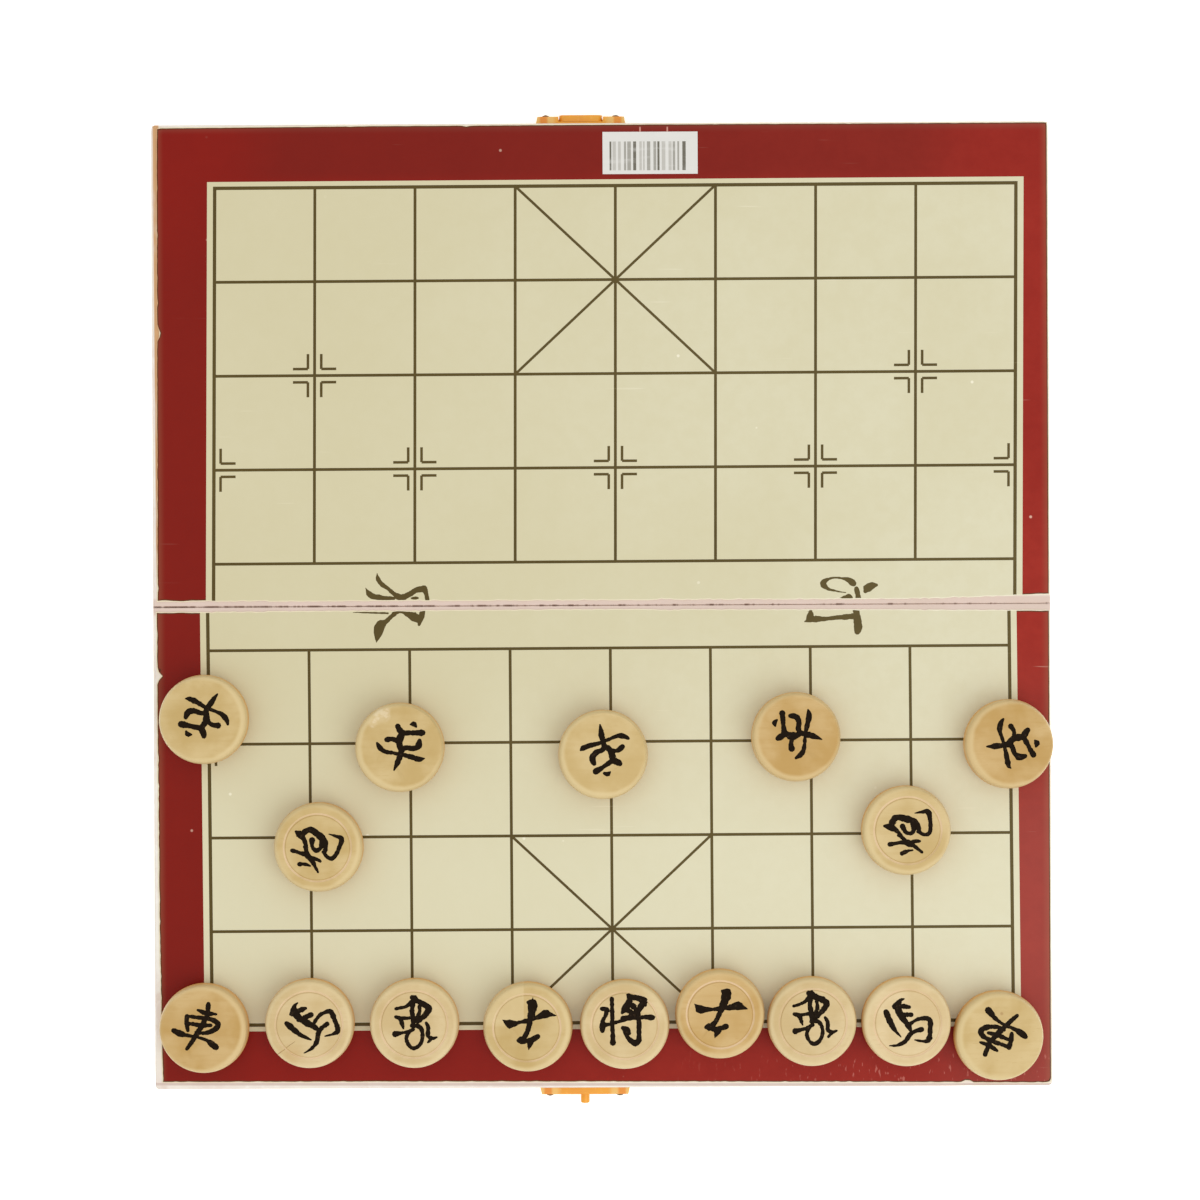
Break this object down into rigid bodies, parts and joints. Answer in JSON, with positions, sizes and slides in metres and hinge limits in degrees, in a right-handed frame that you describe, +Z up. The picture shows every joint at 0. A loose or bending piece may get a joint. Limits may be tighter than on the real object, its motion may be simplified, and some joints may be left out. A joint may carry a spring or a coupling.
{
  "type": "folding xiangqi box",
  "caption": "Folding wooden chess box laid open as a flat printed board, with shallow trays beneath, pin hinges, a flap-and-stud latch and round turned playing pieces.",
  "frame": {"origin": "middle of the open box's outline, on the surface that it lies on, under the hinge line", "axes": "+X along the hinge line to the player's right, +Y away from the player to the empty half, +Z up out of the board"},
  "size_m": [0.27, 0.3004, 0.0322],
  "materials": {
    "board_laminate": "satin laminated print",
    "panel_board": "bare fibreboard",
    "pale_wood": "thinly varnished pale wood",
    "turned_wood": "turned, clear satin varnish",
    "amber_plastic": "glossy",
    "plated_steel": "plated"
  },
  "bodies": {
    "front": {"front_panel": "panel_board", "front_print": "board_laminate", "front_latch_wall": "pale_wood", "front_hinge_wall": "pale_wood", "front_left_wall": "pale_wood", "front_right_wall": "pale_wood", "left_hinge_front_leaf": "plated_steel", "left_hinge_pin": "plated_steel", "left_hinge_front_screws": "plated_steel", "right_hinge_front_leaf": "plated_steel", "right_hinge_pin": "plated_steel", "right_hinge_front_screws": "plated_steel", "stud_plate": "amber_plastic", "stud_nails": "plated_steel"},
    "rear": {"rear_panel": "panel_board", "rear_print": "board_laminate", "rear_latch_wall": "pale_wood", "rear_hinge_wall": "pale_wood", "rear_left_wall": "pale_wood", "rear_right_wall": "pale_wood", "left_hinge_rear_leaf": "plated_steel", "left_hinge_rear_screws": "plated_steel", "right_hinge_rear_leaf": "plated_steel", "right_hinge_rear_screws": "plated_steel", "hasp_plate": "amber_plastic", "hasp_nails": "plated_steel", "hasp_pin": "plated_steel"},
    "hasp_flap": {"hasp_flap": "amber_plastic"},
    "general": {"general": "turned_wood"},
    "advisor_left": {"advisor_left": "turned_wood"},
    "advisor_right": {"advisor_right": "turned_wood"},
    "elephant_left": {"elephant_left": "turned_wood"},
    "elephant_right": {"elephant_right": "turned_wood"},
    "horse_left": {"horse_left": "turned_wood"},
    "horse_right": {"horse_right": "turned_wood"},
    "chariot_left": {"chariot_left": "turned_wood"},
    "chariot_right": {"chariot_right": "turned_wood"},
    "cannon_left": {"cannon_left": "turned_wood"},
    "cannon_right": {"cannon_right": "turned_wood"},
    "soldier_1": {"soldier_1": "turned_wood"},
    "soldier_2": {"soldier_2": "turned_wood"},
    "soldier_3": {"soldier_3": "turned_wood"},
    "soldier_4": {"soldier_4": "turned_wood"},
    "soldier_5": {"soldier_5": "turned_wood"}
  },
  "joints": [
    {"name": "fold", "type": "hinge", "parent": "front", "child": "rear", "pos_m": [0, 0.00135, 0.0011], "axis": [-1, 0, 0], "range_deg": [0, 180]},
    {"name": "flap_swing", "type": "hinge", "parent": "rear", "child": "hasp_flap", "pos_m": [-0.0057, 0.14885, 0.0032], "axis": [-1, 0, 0], "range_deg": [0, 180]},
    {"name": "general_lift", "type": "slide", "parent": "front", "child": "general", "axis": [0, 0, 1], "range_m": [0, 0.03]},
    {"name": "advisor_left_lift", "type": "slide", "parent": "front", "child": "advisor_left", "axis": [0, 0, 1], "range_m": [0, 0.03]},
    {"name": "advisor_right_lift", "type": "slide", "parent": "front", "child": "advisor_right", "axis": [0, 0, 1], "range_m": [0, 0.03]},
    {"name": "elephant_left_lift", "type": "slide", "parent": "front", "child": "elephant_left", "axis": [0, 0, 1], "range_m": [0, 0.03]},
    {"name": "elephant_right_lift", "type": "slide", "parent": "front", "child": "elephant_right", "axis": [0, 0, 1], "range_m": [0, 0.03]},
    {"name": "horse_left_lift", "type": "slide", "parent": "front", "child": "horse_left", "axis": [0, 0, 1], "range_m": [0, 0.03]},
    {"name": "horse_right_lift", "type": "slide", "parent": "front", "child": "horse_right", "axis": [0, 0, 1], "range_m": [0, 0.03]},
    {"name": "chariot_left_lift", "type": "slide", "parent": "front", "child": "chariot_left", "axis": [0, 0, 1], "range_m": [0, 0.03]},
    {"name": "chariot_right_lift", "type": "slide", "parent": "front", "child": "chariot_right", "axis": [0, 0, 1], "range_m": [0, 0.03]},
    {"name": "cannon_left_lift", "type": "slide", "parent": "front", "child": "cannon_left", "axis": [0, 0, 1], "range_m": [0, 0.03]},
    {"name": "cannon_right_lift", "type": "slide", "parent": "front", "child": "cannon_right", "axis": [0, 0, 1], "range_m": [0, 0.03]},
    {"name": "soldier_1_lift", "type": "slide", "parent": "front", "child": "soldier_1", "axis": [0, 0, 1], "range_m": [0, 0.03]},
    {"name": "soldier_2_lift", "type": "slide", "parent": "front", "child": "soldier_2", "axis": [0, 0, 1], "range_m": [0, 0.03]},
    {"name": "soldier_3_lift", "type": "slide", "parent": "front", "child": "soldier_3", "axis": [0, 0, 1], "range_m": [0, 0.03]},
    {"name": "soldier_4_lift", "type": "slide", "parent": "front", "child": "soldier_4", "axis": [0, 0, 1], "range_m": [0, 0.03]},
    {"name": "soldier_5_lift", "type": "slide", "parent": "front", "child": "soldier_5", "axis": [0, 0, 1], "range_m": [0, 0.03]}
  ]
}
